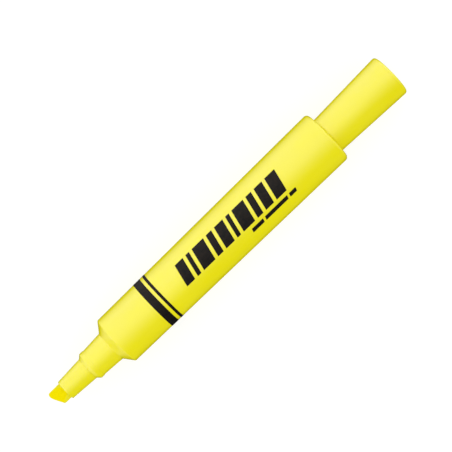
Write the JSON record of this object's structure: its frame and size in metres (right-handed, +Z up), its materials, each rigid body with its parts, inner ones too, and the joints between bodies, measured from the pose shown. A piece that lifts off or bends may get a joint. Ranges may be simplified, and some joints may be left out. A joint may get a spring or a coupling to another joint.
{
  "type": "highlighter",
  "caption": "Fat round highlighter lying on its side, with a slanted chisel felt nib, a stepped nose and its flared cap pushed onto the tail.",
  "frame": {"origin": "under the middle of the highlighter's length, on the surface that the barrel lies on", "axes": "+X along the barrel from the nib to the cap, +Z up; the writing edge's leading corner is on the +Y side"},
  "size_m": [0.1394, 0.018, 0.018],
  "materials": {
    "barrel": "satin",
    "nib_holder": "satin",
    "nib": "matte",
    "reservoir_core": "matte",
    "reservoir_film": "gloss",
    "breather_tube": "satin",
    "tail_plug": "satin",
    "cap": "satin",
    "cap_seal": "satin"
  },
  "bodies": {
    "pen": {"barrel": "barrel", "nib_holder": "nib_holder", "nib": "nib", "reservoir_core": "reservoir_core", "reservoir_film": "reservoir_film", "breather_tube": "breather_tube", "tail_plug": "tail_plug"},
    "cap": {"cap": "cap", "cap_seal": "cap_seal"}
  },
  "joints": [
    {"name": "cap_slide", "type": "slide", "parent": "pen", "child": "cap", "axis": [1, 0, 0], "range_m": [0, 0.02]}
  ]
}
